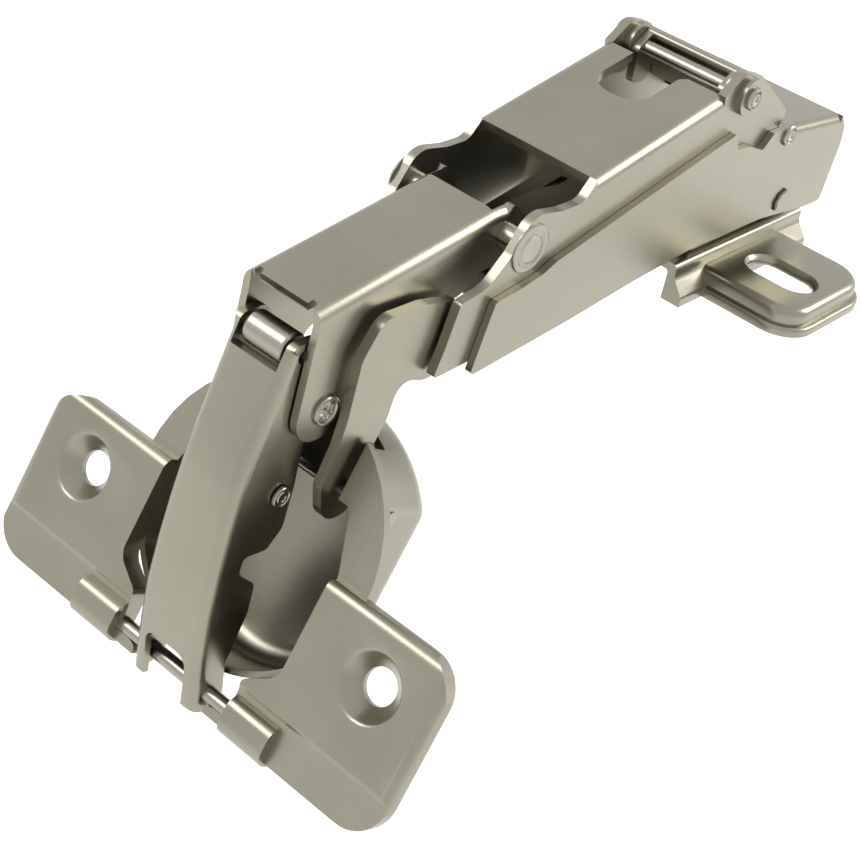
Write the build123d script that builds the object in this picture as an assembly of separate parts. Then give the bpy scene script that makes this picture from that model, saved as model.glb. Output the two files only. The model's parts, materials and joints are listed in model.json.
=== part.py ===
from build123d import *
import math
import os

os.makedirs("parts", exist_ok=True)

# Frame: +X runs along the arm towards its rear, +Z away from the cabinet side, the near side is -Y.
# The origin is on the mounting plate's underside, midway between its two screw slots.
# The hinge is drawn fully open, which is its rest pose.

# Depth of the cutting blocks, more than any wall
deep = 70.0

# Gaps
fit_gap = 0.03
sheet_gap = 0.1
side_gap = 0.3

# Sheet thicknesses and the half widths of the nested layers
cover_sheet = 1.2
arm_sheet = 0.9
middle_sheet = 1.0
link_sheet = 1.1
lever_sheet = 1.3
liner_sheet = 0.6
plate_sheet = 1.2
middle_half = 5.4
cover_half = 9.5
arm_half = cover_half + 0.05 + arm_sheet
lever_inner = middle_half + 1.2
lever_outer = lever_inner + lever_sheet
link_top_half = middle_half - middle_sheet - 0.2
link_low_half = 5.5

# Pivots, as x and z
knee_x, knee_z = -52.2, 19.6
elbow_x, elbow_z = -78.5, 5.4
toe_x, toe_z = -90.0, -30.0
heel_x, heel_z = -74.4, -6.2
rear_x, rear_z = -12.0, 29.7
stay_x, stay_z = 0.8, 21.7
tie_x, tie_z = -60.6, 9.6
roller_x, roller_z = -81.9, 12.7

# Pins and rivets
knee_pin_r = 1.5
knee_head_r = 3.1
knee_head_t = 0.5
elbow_pin_r = 1.1
elbow_head_r = 1.9
head_t = 0.6
rear_pin_r = 1.0
rear_head_r = 1.5
washer_r = 2.5
washer_t = 0.9
stay_pin_r = 1.0
stay_head_r = 1.7
axle_r = 1.0
tie_pin_r = 1.0
roller_r = 2.0
roller_pin_r = 0.8
link_rivet_r = 0.8
link_rivet_head_r = 1.4

# Arm cover
cover_front_x, cover_front_z = -41.4, 25.3
cover_slope = 12.2
cover_top_length = 24.8
cover_bend = 1.6
scallop_r = 3.9
scallop_at = 19.4
scallop_y = 1.0
ear_r = 3.6

# Rear web of the arm channel
web_front_x, web_front_z = -0.6, 22.8
web_rear_x, web_rear_z = 15.4, 21.2
web_slot_half = 3.4
web_slot_length = 7.5
arm_bend = 1.2

# Middle channel and its liner
middle_front_x, middle_front_z = -81.5, 18.7
middle_rear_x, middle_rear_z = -54.4, 23.0
middle_bend = 1.8
liner_front_x = -66.0
liner_rear_x = -54.1

# Release lever
tab_half = 6.6
tab_x = -12.2
tab_z = 31.3
tab_length = 3.4
tab_t = 1.1

# Outer link
web_top_z = 11.2
link_bend = 1.5
link_rivet_x, link_rivet_z = -82.4, -5.3
window_half = 3.3
window_top_z = -25.0

# Cup plate, in the cup's own plane: u runs towards the door's near edge and n out of the face
cup_x, cup_z = -83.5, -18.7
cup_angle = 62.86
plate_front = -16.4
plate_rear = 7.2
plate_half = 33.3
plate_depth = 2.0
edge_drop = 1.0
lip_length = 6.4
rim_sink = 1.2
corner_front_r = 5.0
corner_rear_r = 4.6
screw_pitch = 48.0
screw_r = 1.95
screw_sink_r = 3.6
bowl_at = 6.16
bowl_r = 17.4
bowl_wall = 0.8
bowl_depth = 11.5
bowl_round = 4.0
rim_r = 17.9
toe_at = -12.72
toe_up = 1.1
loop_inner = 9.6
loop_outer = 16.4
loop_r = 2.3
mouth_half = 12.3
notch_inner = 6.0
notch_outer = 8.7
notch_depth = 4.4
front_cut_half = 6.1
front_cut_depth = 2.6

# Mounting plate
rail_half = 8.4
rail_top = 5.5
rail_front = -15.0
rail_rear = 16.6
wing_top = 3.7
wing_front = -9.5
wing_rear = 12.0
wing_half = 24.6
slot_pitch = 32.0
slot_length = 9.2
slot_r = 2.4

# Clip saddle between the arm and the mounting plate's rail
saddle_front, saddle_rear = -11.0, 13.5
saddle_half = 7.6
saddle_top = 11.4
saddle_sheet = 1.2

# Damper
damper_r = 3.0
rod_r = 0.9


def outline(corners):
    """A closed wire through (a, b, radius) corners, with an arc of that radius at each."""
    count = len(corners)
    starts = []
    ends = []
    middles = []
    for i in range(count):
        a, b, radius = corners[i]
        if radius == 0:
            starts.append(Vector(a, b))
            ends.append(Vector(a, b))
            middles.append(Vector(a, b))
            continue
        before = Vector(*corners[i - 1][:2]) - Vector(a, b)
        after = Vector(*corners[(i + 1) % count][:2]) - Vector(a, b)
        before = before.normalized()
        after = after.normalized()
        half = math.radians(before.get_angle(after)) / 2
        reach = radius / math.tan(half)
        centre = Vector(a, b) + (before + after).normalized() * (radius / math.sin(half))
        starts.append(Vector(a, b) + before * reach)
        ends.append(Vector(a, b) + after * reach)
        middles.append(centre - (before + after).normalized() * radius)
    edges = []
    for i in range(count):
        if corners[i][2] > 0:
            edges.append(ThreePointArc(starts[i], middles[i], ends[i]))
        if (ends[i] - starts[(i + 1) % count]).length > 1e-6:
            edges.append(Line(ends[i], starts[(i + 1) % count]))
    return Wire(edges)


def slab(corners, low, high):
    """A side profile in x and z, swept across the hinge from y = low to y = high."""
    return extrude(Plane.XZ.offset(-high) * make_face(outline(corners)), amount=high - low)


def bar(x, z, radius, low, high):
    """A round bar across the hinge, from y = low to y = high."""
    return Pos(x, (low + high) / 2, z) * Cylinder(radius, high - low, rotation=(90, 0, 0))


def both(part):
    """The part and its mirror image on the far side."""
    return part + mirror(part, about=Plane.XZ)


def at(name, shape):
    """Writes one named part."""
    export_step(shape, "parts/" + name + ".step")


def folded(corners, half, sheet, bend, start, end):
    """A sheet folded over two walls of one side profile, closed by a web from start to end."""
    run = Vector(end[0] - start[0], 0, end[1] - start[1])
    frame = Plane(origin=(start[0], 0, start[1]), x_dir=run, z_dir=run.cross(Vector(0, 1, 0)))
    length = run.length
    whole = slab(corners, -half, half)
    outer = Pos(length / 2, 0, -deep / 2) * Box(length, 2 * half, deep)
    outer = fillet(outer.edges().filter_by(Axis.X).group_by(Axis.Z)[-1], bend)
    hollow = Pos(length / 2, 0, -sheet - deep / 2) * Box(length + 2, 2 * (half - sheet), deep)
    inner_bend = max(bend - sheet, 0.3)
    hollow = fillet(hollow.edges().filter_by(Axis.X).group_by(Axis.Z)[-1], inner_bend)
    span = frame * Pos(length / 2, 0, 0) * Box(length, 4 * half, 2 * deep)
    walls = slab(corners, half - sheet, half)
    walls = walls + mirror(walls, about=Plane.XZ) - span
    return (whole & (frame * (outer - hollow))) + walls


# Arm cover: a folded sheet whose flanges carry the knee pivot in front and the rear pin behind
slope = math.radians(cover_slope)
cover_end_x = cover_front_x + cover_top_length * math.cos(slope)
cover_end_z = cover_front_z + cover_top_length * math.sin(slope)
cover_side = [
    (-65.3, 6.6, 0.4),
    (-64.2, 10.1, 4.0),
    (-62.9, 15.6, 0.8),
    (-58.6, 16.3, 4.0),
    (-55.4, 19.4, 2.0),
    (-52.6, 23.9, 3.2),
    (-47.2, 23.0, 5.0),
    (-43.4, 23.0, 2.0),
    (cover_front_x, cover_front_z, 0),
    (cover_end_x, cover_end_z, 0),
    (-13.4, 33.0, 3.0),
    (-9.4, 31.9, 2.4),
    (0.6, 24.6, 1.4),
    (-2.9, 20.9, 0.8),
    (-16.0, 18.6, 2.0),
    (-46.0, 10.2, 3.0),
    (-59.0, 6.9, 2.0),
]
cover_room = cover_half - cover_sheet
cover = folded(
    cover_side,
    cover_half,
    cover_sheet,
    cover_bend,
    (cover_front_x, cover_front_z),
    (cover_end_x, cover_end_z),
)
cover_frame = Plane(
    origin=(cover_front_x, 0, cover_front_z),
    x_dir=(math.cos(slope), 0, math.sin(slope)),
    z_dir=(-math.sin(slope), 0, math.cos(slope)),
)
scallop = make_face(
    outline(
        [
            (scallop_at + 12, scallop_y + scallop_r, 0),
            (scallop_at - scallop_r, scallop_y + scallop_r, 3.4),
            (scallop_at - scallop_r, scallop_y - scallop_r, 3.2),
            (cover_top_length - 0.9, scallop_y - scallop_r, 0.6),
            (cover_top_length + 0.8, scallop_y - scallop_r - 1.5, 0),
            (scallop_at + 12, scallop_y - scallop_r - 1.5, 0),
        ]
    )
)
cover -= cover_frame * Pos(0, 0, -cover_sheet - 1) * extrude(scallop, amount=cover_sheet + 2)
cover -= bar(knee_x, knee_z, knee_pin_r + fit_gap, -arm_half, arm_half)
cover -= bar(rear_x, rear_z, rear_pin_r + fit_gap, -arm_half, arm_half)
at("arm_cover", cover)

# Outer arm channel: two walls outside the cover, joined by the rear web
arm_side = [
    (-59.8, 5.5, 0.6),
    (-58.4, 11.6, 3.0),
    (-57.7, 14.6, 0.6),
    (-53.1, 15.2, 3.0),
    (-49.6, 15.9, 3.0),
    (-47.4, 16.9, 2.0),
    (-13.2, 25.1, 0.4),
    (-12.0, 22.6, 0.5),
    (-9.0, 22.4, 1.0),
    (-5.2, 20.9, 0.6),
    (-3.3, 22.9, 0.5),
    (web_front_x, web_front_z, 0),
    (web_rear_x, web_rear_z, 0),
    (17.0, 19.2, 1.0),
    (17.4, 16.4, 3.0),
    (16.4, 7.9, 0.8),
    (12.2, 8.0, 3.0),
    (-0.3, 9.4, 8.0),
    (-15.0, 9.7, 20.0),
    (-28.8, 8.6, 10.0),
    (-41.8, 7.1, 10.0),
]
arm_channel = folded(
    arm_side,
    arm_half,
    arm_sheet,
    arm_bend,
    (web_front_x, web_front_z),
    (web_rear_x, web_rear_z),
)
web_slot = Pos(web_front_x + web_slot_length / 2 - 1, 0, web_front_z) * Box(
    web_slot_length + 2, 2 * web_slot_half, 3 * arm_sheet
)
web_slot = fillet(web_slot.edges().filter_by(Axis.Z).group_by(Axis.X)[-1], web_slot_half - 0.4)
arm_channel -= web_slot
arm_channel -= bar(stay_x, stay_z, stay_pin_r + fit_gap, -arm_half - 1, arm_half + 1)
at("arm_channel", arm_channel)

# Rivets and pins of the arm
knee_rivet = bar(knee_x, knee_z, knee_pin_r, -cover_half, cover_half)
knee_rivet += both(bar(knee_x, knee_z, knee_head_r, cover_half, cover_half + knee_head_t))
at("knee_rivet", knee_rivet)
stay_rivet = bar(stay_x, stay_z, stay_pin_r, -arm_half, arm_half)
stay_rivet += both(bar(stay_x, stay_z, stay_head_r, arm_half, arm_half + head_t))
at("stay_rivet", stay_rivet)
rear_reach = cover_half + washer_t
rear_pin = bar(rear_x, rear_z, rear_pin_r, -rear_reach, rear_reach)
rear_pin += both(bar(rear_x, rear_z, rear_head_r, rear_reach, rear_reach + head_t))
at("rear_pin", rear_pin)


def washer(low, high):
    """A washer on the rear pin."""
    ring = bar(rear_x, rear_z, washer_r, low, high)
    return ring - bar(rear_x, rear_z, rear_pin_r + fit_gap, low - 1, high + 1)


outer_washer = washer(cover_half, rear_reach)
inner_washer = washer(cover_room - washer_t - fit_gap, cover_room - fit_gap)
at("washer_outer_far", outer_washer)
at("washer_outer_near", mirror(outer_washer, about=Plane.XZ))
at("washer_inner_far", inner_washer)
at("washer_inner_near", mirror(inner_washer, about=Plane.XZ))

# Release lever: a grip tab above the rear pin, on two cheeks that turn on it
cheek_outer = cover_room - washer_t - 3 * fit_gap
cheek_inner = cheek_outer - tab_t
tab_end = tab_x + tab_length
cheek = slab(
    [
        (tab_x, tab_z + tab_t, 0.5),
        (tab_end, tab_z + tab_t, 0.5),
        (rear_x + 2.2, rear_z + 0.2, 1.2),
        (rear_x + 1.6, rear_z - 4.8, 1.0),
        (rear_x - 1.6, rear_z - 4.8, 1.0),
        (rear_x - 2.2, rear_z + 0.2, 1.2),
    ],
    cheek_inner,
    cheek_outer,
)
tab = slab(
    [
        (tab_x, tab_z + tab_t, 0.5),
        (tab_end, tab_z + tab_t, 0.5),
        (tab_end, tab_z, 0.3),
        (tab_x, tab_z, 0.3),
    ],
    -cheek_outer,
    cheek_outer,
)
release_lever = tab + both(cheek)
release_lever -= bar(rear_x, rear_z, rear_pin_r + fit_gap, -arm_half, arm_half)
at("release_lever", release_lever)

# Middle channel: turns on the knee rivet and carries the outer link on its elbow
middle_side = [
    (middle_front_x, middle_front_z, 0),
    (middle_rear_x, middle_rear_z, 0),
    (knee_x + 1.0, knee_z + 3.6, 2.2),
    (knee_x + 3.6, knee_z + 1.0, 2.4),
    (knee_x + 1.8, knee_z - 3.8, 2.4),
    (knee_x - 4.0, knee_z - 4.0, 2.0),
    (-58.0, 13.4, 3.0),
    (-70.0, 12.4, 3.0),
    (-74.6, 9.0, 3.0),
    (-75.0, 1.7, 3.0),
    (-81.9, 1.7, 3.0),
    (-79.3, 15.4, 1.5),
    (-81.3, 16.3, 0.4),
]
middle = folded(
    middle_side,
    middle_half,
    middle_sheet,
    middle_bend,
    (middle_front_x, middle_front_z),
    (middle_rear_x, middle_rear_z),
)
middle -= bar(knee_x, knee_z, knee_pin_r + fit_gap, -middle_half - 1, middle_half + 1)
middle -= bar(elbow_x, elbow_z, elbow_pin_r + fit_gap, -middle_half - 1, middle_half + 1)
at("middle_channel", middle)
elbow_rivet = bar(elbow_x, elbow_z, elbow_pin_r, -middle_half, middle_half)
elbow_rivet += both(bar(elbow_x, elbow_z, elbow_head_r, middle_half, middle_half + head_t))
at("elbow_rivet", elbow_rivet)

# Liner: a thin second sheet under the middle channel's web, seen at its rear edge
liner_half = middle_half - middle_sheet - fit_gap
liner_run = (middle_rear_z - middle_front_z) / (middle_rear_x - middle_front_x)


def middle_height(x):
    """Height of the middle channel's top face at x."""
    return middle_front_z + liner_run * (x - middle_front_x)


liner_side = [
    (liner_front_x, middle_height(liner_front_x) - middle_sheet - fit_gap, 0),
    (liner_rear_x, middle_height(liner_rear_x) - middle_sheet - fit_gap, 0),
    (liner_rear_x, middle_height(liner_rear_x) - 4.4, 0.6),
    (liner_front_x, middle_height(liner_front_x) - 4.4, 0.6),
]
liner = folded(liner_side, liner_half, liner_sheet, 0.9, liner_side[0][:2], liner_side[1][:2])
at("channel_liner", liner)

# Outer link: a tapered channel from the elbow down to its two knuckles on the front axle
web_line = [(-84.4, 12.2, 0), (-89.6, -2.6, 60.0), (-92.5, -18.5, 60.0)]
link_low_z = -32.3
link_edge = [
    (-87.7, link_low_z, 1.9),
    (-87.9, -26.6, 1.5),
    (-85.2, -20.6, 3.0),
    (-84.6, -16.6, 1.2),
    (-87.4, -14.0, 1.2),
    (-86.9, -11.9, 0.8),
    (-83.4, -12.3, 1.0),
    (-81.2, -10.2, 2.0),
    (-80.2, -5.0, 3.0),
    (-79.6, 1.8, 1.6),
    (-75.4, 2.6, 2.6),
    (-75.2, 8.6, 3.0),
    (-79.6, 15.6, 2.4),
    (-84.1, 15.2, 1.4),
]


def taper(shrink):
    """The link's front view: parallel at the elbow, then widening down to the knuckles."""
    top = link_top_half - shrink
    low = link_low_half - shrink
    view = [
        (top, deep, 0),
        (top, -2.0, 150.0),
        (low, link_low_z, 0),
        (low, -deep, 0),
        (-low, -deep, 0),
        (-low, link_low_z, 0),
        (-top, -2.0, 150.0),
        (-top, deep, 0),
    ]
    return extrude(Plane.YZ.offset(-2 * deep) * make_face(outline(view)), amount=2 * deep)


link_body = slab(web_line + [(-92.2, link_low_z, 0)] + link_edge, -deep, deep) & taper(0)
link_bends = ShapeList()
for web_face in link_body.faces():
    if web_face.normal_at().X < -0.9 and abs(web_face.center().Y) < 0.5 and web_face.center().Z < 12:
        link_bends += web_face.edges().filter_by(lambda e: abs(e.center().Y) > 1)
link_body = fillet(link_bends, link_bend)
inner_line = [(a + link_sheet, b, radius) for a, b, radius in web_line]
web_lean = (web_line[0][0] - web_line[1][0]) / (web_line[0][1] - web_line[1][1])
web_top_x = web_line[0][0] - web_lean * (web_line[0][1] - web_top_z)
inner_line[0] = (web_top_x + link_sheet, web_top_z, 0)
link_hollow = slab(
    [(-100, web_top_z, 0)]
    + inner_line
    + [(-91.1, -deep, 0), (-40, -deep, 0), (-40, deep, 0), (-100, deep, 0)],
    -deep,
    deep,
)
link_body -= link_hollow & taper(link_sheet)
window = Pos(-93, 0, window_top_z - deep / 2) * Box(8, 2 * window_half, deep)
window = fillet(window.edges().filter_by(Axis.X).group_by(Axis.Z)[-1], 1.6)
link_body -= window
knuckle_round = slab(
    [
        (-110, 40, 0),
        (-94.5, -27.0, 0),
        (-92.6, link_low_z, 2.3),
        (-60, link_low_z, 0),
        (-60, 40, 0),
    ],
    -deep,
    deep,
)
link_body &= knuckle_round
link_body -= bar(elbow_x, elbow_z, elbow_pin_r + fit_gap, -deep, deep)
link_body -= bar(toe_x, toe_z, axle_r + fit_gap, -deep, deep)
link_body -= bar(roller_x, roller_z, roller_pin_r + fit_gap, -deep, deep)
link_body -= bar(link_rivet_x, link_rivet_z, link_rivet_r + fit_gap, -deep, deep)
at("outer_link", link_body)

roller_pin_half = link_top_half - fit_gap
roller_pin = bar(roller_x, roller_z, roller_pin_r, -roller_pin_half, roller_pin_half)
at("roller_pin", roller_pin)
roller_half = link_top_half - link_sheet - sheet_gap
roller = bar(roller_x, roller_z, roller_r, -roller_half, roller_half)
roller = fillet(roller.edges().filter_by(GeomType.CIRCLE), 0.4)
roller -= bar(roller_x, roller_z, roller_pin_r + fit_gap, -deep, deep)
at("roller", roller)
rivet_half = link_top_half + 0.3
link_rivet = bar(link_rivet_x, link_rivet_z, link_rivet_r, -rivet_half, rivet_half)
link_rivet += both(
    bar(link_rivet_x, link_rivet_z, link_rivet_head_r, rivet_half, rivet_half + 0.5)
)
at("link_rivet", link_rivet)

# Side levers: one each side, from the inner axle in the cup up into the arm
lever_side = [
    (-73.9, -9.1, 2.6),
    (-78.4, -9.1, 3.0),
    (-79.4, -3.6, 1.5),
    (-77.6, 1.0, 3.0),
    (-76.9, 4.4, 4.0),
    (-76.2, 12.0, 3.0),
    (-73.6, 16.3, 2.5),
    (-67.2, 16.1, 6.0),
    (-61.4, 14.9, 1.6),
    (-57.9, 9.6, 2.4),
    (-60.6, 6.4, 2.4),
    (-64.4, 5.3, 3.0),
    (-69.0, 6.9, 2.0),
    (-70.2, 1.8, 3.0),
    (-72.4, -2.0, 2.0),
    (-72.0, -5.0, 1.6),
]
lever = slab(lever_side, lever_inner, lever_outer)
lever -= bar(heel_x, heel_z, axle_r + fit_gap, -deep, deep)
lever -= bar(tie_x, tie_z, tie_pin_r + fit_gap, -deep, deep)
at("side_lever_far", lever)
at("side_lever_near", mirror(lever, about=Plane.XZ))
at("lever_tie_pin", bar(tie_x, tie_z, tie_pin_r, -lever_outer + fit_gap, lever_outer - fit_gap))

# Cup: a drawn bowl and a pressed plate with two wings, in the cup's own plane
swing = math.radians(cup_angle)
cup_frame = Plane(
    origin=(cup_x, 0, cup_z),
    x_dir=(math.cos(swing), 0, math.sin(swing)),
    z_dir=(-math.sin(swing), 0, math.cos(swing)),
)


def in_cup(x, z):
    """A side-view point of the hinge, as u and n in the cup's own plane."""
    step = Vector(x - cup_x, z - cup_z)
    u = step.X * math.cos(swing) + step.Y * math.sin(swing)
    n = step.Y * math.cos(swing) - step.X * math.sin(swing)
    return u, n


def upright(corners, low, high):
    """A plan outline in u and y, raised from n = low to n = high."""
    return Pos(0, 0, low) * extrude(make_face(outline(corners)), amount=high - low)


plate_plan = [
    (plate_front, -plate_half, corner_front_r),
    (plate_rear, -plate_half, corner_rear_r),
    (plate_rear, plate_half, corner_rear_r),
    (plate_front, plate_half, corner_front_r),
]
pocket_plan = [
    (plate_front + plate_sheet, -plate_half + plate_sheet, corner_front_r - plate_sheet),
    (plate_rear - plate_sheet, -plate_half + plate_sheet, corner_rear_r - plate_sheet),
    (plate_rear - plate_sheet, plate_half - plate_sheet, corner_rear_r - plate_sheet),
    (plate_front + plate_sheet, plate_half - plate_sheet, corner_front_r - plate_sheet),
]


def pressed(shift):
    """The pressed form of the plate: its front lip, rolled rear edge and sloping ends."""
    along = [
        (plate_front - 5, -deep, 0),
        (plate_front - 5, -edge_drop - 0.8 - shift, 0),
        (plate_front + lip_length, -shift, 3.0),
        (plate_rear - 2.4, -shift, 2.0),
        (plate_rear + 1.2, -2.0 - shift, 0),
        (plate_rear + 1.2, -deep, 0),
    ]
    across = [
        (-plate_half - 2, -deep, 0),
        (-plate_half - 2, -edge_drop - 1.2 - shift, 0),
        (-plate_half + 2.6, -shift, 2.0),
        (plate_half - 2.6, -shift, 2.0),
        (plate_half + 2, -edge_drop - 1.2 - shift, 0),
        (plate_half + 2, -deep, 0),
    ]
    return slab(along, -deep, deep) & extrude(
        Plane.YZ.offset(-deep) * make_face(outline(across)), amount=2 * deep
    )


plate = upright(plate_plan, -plate_depth, 0) & pressed(0)
plate -= upright(pocket_plan, -plate_depth - 1, 0) & pressed(plate_sheet)
screw_spots = [Pos(0, screw_pitch / 2, 0), Pos(0, -screw_pitch / 2, 0)]
for spot in screw_spots:
    plate += spot * Pos(0, 0, -plate_depth / 2 - 0.1) * Cylinder(screw_sink_r - 0.4, plate_depth - 0.2)
sink_depth = 1.1
for spot in screw_spots:
    plate -= spot * Cylinder(screw_r, 3 * plate_depth)
    plate -= spot * Pos(0, 0, -sink_depth / 2 + 0.05) * Cone(
        screw_r, screw_sink_r, sink_depth + 0.1
    )

# Loops that hold the front axle
toe_u, toe_n = in_cup(toe_x, toe_z)
loop_width = loop_outer - loop_inner
loop_side = [
    (toe_u - loop_r - 0.3, -plate_sheet + 0.3, 0),
    (toe_u - loop_r, toe_n + loop_r, loop_r - 0.3),
    (toe_u + loop_r - 0.3, toe_n + loop_r, loop_r - 0.6),
    (toe_u + loop_r + 1.4, -plate_sheet + 0.3, 0),
]
loop = slab(loop_side, loop_inner, loop_outer)
loop_tops = loop.edges().filter_by(
    lambda e: abs(e.center().Y - loop_outer) < 0.01 and e.center().Z > 0.0
)
loop = fillet(loop_tops, 1.0)
plate += both(loop)

# Bowl with its rim on the plate
bowl = Pos(bowl_at, 0, -bowl_depth / 2) * Cylinder(bowl_r, bowl_depth)
bowl = fillet(bowl.edges().group_by(Axis.Z)[0], bowl_round)
rim = Pos(bowl_at, 0, -rim_sink / 2) * Cylinder(rim_r, rim_sink)
cavity_height = bowl_depth - bowl_wall - rim_sink
cavity = Pos(bowl_at, 0, -rim_sink - cavity_height / 2) * Cylinder(bowl_r - bowl_wall, cavity_height)
cavity = fillet(cavity.edges().group_by(Axis.Z)[0], bowl_round - bowl_wall)
cup = plate + rim + bowl - cavity
mouth_side = [
    (plate_front - 4, front_cut_half, 0),
    (-14.0, front_cut_half, 0.8),
    (-13.2, loop_inner - 0.3, 0.6),
    (-8.4, loop_inner - 0.3, 1.0),
    (-5.8, mouth_half, 2.5),
    (7.0, mouth_half, 5.0),
    (14.6, 10.6, 1.0),
    (14.6, notch_outer, 0),
    (24.0, notch_outer, 0),
]
mouth_end = [(24.0, notch_inner, 0), (16.4, notch_inner, 0), (16.4, 4.4, 0)]
mouth_half_plan = mouth_side + mouth_end
mirrored = [(a, -b, radius) for a, b, radius in reversed(mouth_half_plan)]
mouth = upright(mouth_half_plan + mirrored, -rim_sink - 0.01, deep / 10)
loops_kept = both(Pos(toe_u, (loop_inner + loop_outer) / 2, 2) * Box(10, loop_width, 9))
cup -= mouth
notch = Pos((15.0 + 26.0) / 2, (notch_inner + notch_outer) / 2, 1 - notch_depth / 2 - 0.5) * Box(
    11.0, notch_outer - notch_inner, notch_depth + 1
)
cup -= both(notch)
front_cut = Pos(-13.0, 0, 0) * Box(8.0, 2 * front_cut_half, 2 * front_cut_depth)
cup -= front_cut
cup = cup_frame * cup
cup -= bar(toe_x, toe_z, axle_r + fit_gap, -loop_outer + 0.5, loop_outer - 0.5)
cup -= bar(heel_x, heel_z, axle_r + fit_gap, -deep, deep)
at("cup", cup)
toe_half = loop_outer - 0.55
at("front_axle", bar(toe_x, toe_z, axle_r, -toe_half, toe_half))
heel_half = 14.3
at("inner_axle", bar(heel_x, heel_z, axle_r, -heel_half, heel_half))

# Mounting plate: two raised wings with slots and the rail the arm clips onto
wing_length = wing_rear - wing_front
wing_middle = (wing_front + wing_rear) / 2
wing_plan = [
    (wing_front, -wing_half, 5.0),
    (wing_rear, -wing_half, 6.0),
    (wing_rear, wing_half, 6.0),
    (wing_front, wing_half, 5.0),
]
wing_pocket_plan = [
    (wing_front + plate_sheet, -wing_half + plate_sheet, 5.0 - plate_sheet),
    (wing_rear - plate_sheet, -wing_half + plate_sheet, 6.0 - plate_sheet),
    (wing_rear - plate_sheet, wing_half - plate_sheet, 6.0 - plate_sheet),
    (wing_front + plate_sheet, wing_half - plate_sheet, 5.0 - plate_sheet),
]
wings = upright(wing_plan, 0, wing_top)
wings = fillet(wings.edges().group_by(Axis.Z)[-1], 1.4)
wings -= upright(wing_pocket_plan, -1, wing_top - plate_sheet)
rail_length = rail_rear - rail_front
rail_middle = (rail_front + rail_rear) / 2
rail = Pos(rail_middle, 0, rail_top / 2) * Box(rail_length, 2 * rail_half, rail_top)
rail = fillet(rail.edges().filter_by(Axis.X).group_by(Axis.Z)[-1], 1.2)
rail_hollow = Pos(rail_middle, 0, (rail_top - plate_sheet) / 2 - 0.5) * Box(
    rail_length - 2 * plate_sheet, 2 * (rail_half - plate_sheet), rail_top - plate_sheet + 1
)
mounting_plate = wings + rail - rail_hollow
slot_straight = slot_length - 2 * slot_r


def slot_tool(radius, low, high):
    """A slot across the wing with round ends, from z = low to z = high."""
    tool = Pos(0, 0, (low + high) / 2) * Box(2 * radius, slot_straight, high - low)
    for end in (-slot_straight / 2, slot_straight / 2):
        tool += Pos(0, end, (low + high) / 2) * Cylinder(radius, high - low)
    return tool


for side in (-slot_pitch / 2, slot_pitch / 2):
    mounting_plate += Pos(0, side, 0) * slot_tool(slot_r + 0.9, 0, wing_top)
for side in (-slot_pitch / 2, slot_pitch / 2):
    mounting_plate -= Pos(0, side, 0) * slot_tool(slot_r, -1, wing_top + 1)
at("mounting_plate", mounting_plate)

# Clip saddle: a hat-shaped sheet on the rail, whose brims reach the arm's walls
brim = arm_half - arm_sheet - sheet_gap / 2
saddle_low = rail_top
saddle_view = [
    (-brim, saddle_top, 0),
    (-saddle_half + saddle_sheet, saddle_top, 0.6),
    (-saddle_half + saddle_sheet, saddle_low + saddle_sheet, 0.6),
    (saddle_half - saddle_sheet, saddle_low + saddle_sheet, 0.6),
    (saddle_half - saddle_sheet, saddle_top, 0.6),
    (brim, saddle_top, 0),
    (brim, saddle_top - saddle_sheet, 0),
    (saddle_half, saddle_top - saddle_sheet, 0.3),
    (saddle_half, saddle_low, 1.2),
    (-saddle_half, saddle_low, 1.2),
    (-saddle_half, saddle_top - saddle_sheet, 0.3),
    (-brim, saddle_top - saddle_sheet, 0),
]
saddle = extrude(
    Plane.YZ.offset(saddle_front) * make_face(outline(saddle_view)),
    amount=saddle_rear - saddle_front,
)
at("clip_saddle", saddle)
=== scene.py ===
import bmesh
import bpy
import json
import math
from mathutils import Matrix, Vector


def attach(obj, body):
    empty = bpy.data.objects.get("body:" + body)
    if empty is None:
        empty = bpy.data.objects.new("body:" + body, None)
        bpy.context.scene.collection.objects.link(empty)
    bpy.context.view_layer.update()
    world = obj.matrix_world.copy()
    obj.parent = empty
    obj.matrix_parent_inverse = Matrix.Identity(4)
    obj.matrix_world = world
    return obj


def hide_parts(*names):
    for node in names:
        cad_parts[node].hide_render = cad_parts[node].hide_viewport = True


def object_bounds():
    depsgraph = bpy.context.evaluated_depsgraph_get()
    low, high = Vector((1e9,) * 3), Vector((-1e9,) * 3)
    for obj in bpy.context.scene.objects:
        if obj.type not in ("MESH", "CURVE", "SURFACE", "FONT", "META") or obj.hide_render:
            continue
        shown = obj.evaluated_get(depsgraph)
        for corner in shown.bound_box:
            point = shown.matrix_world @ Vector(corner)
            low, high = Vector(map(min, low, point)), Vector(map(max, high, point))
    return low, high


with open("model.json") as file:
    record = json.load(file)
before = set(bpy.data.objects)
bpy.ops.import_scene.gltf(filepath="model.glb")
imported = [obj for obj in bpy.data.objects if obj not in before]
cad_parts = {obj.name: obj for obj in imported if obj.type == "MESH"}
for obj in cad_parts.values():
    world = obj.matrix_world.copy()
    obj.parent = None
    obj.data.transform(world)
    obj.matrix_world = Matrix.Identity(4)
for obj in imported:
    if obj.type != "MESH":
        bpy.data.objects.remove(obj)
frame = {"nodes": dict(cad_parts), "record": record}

cad_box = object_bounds()

# Camera: the photograph's viewpoint, in metres in the hinge's own frame
camera_place = Vector((-0.20354, -0.10815, 0.11337))
camera_forward = Vector((0.6811, 0.4812, -0.5518))
camera_up = Vector((0.3199, 0.4823, 0.8155))
sensor_width = 36.0
focal_share = 1800.0 / 862.0

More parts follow.
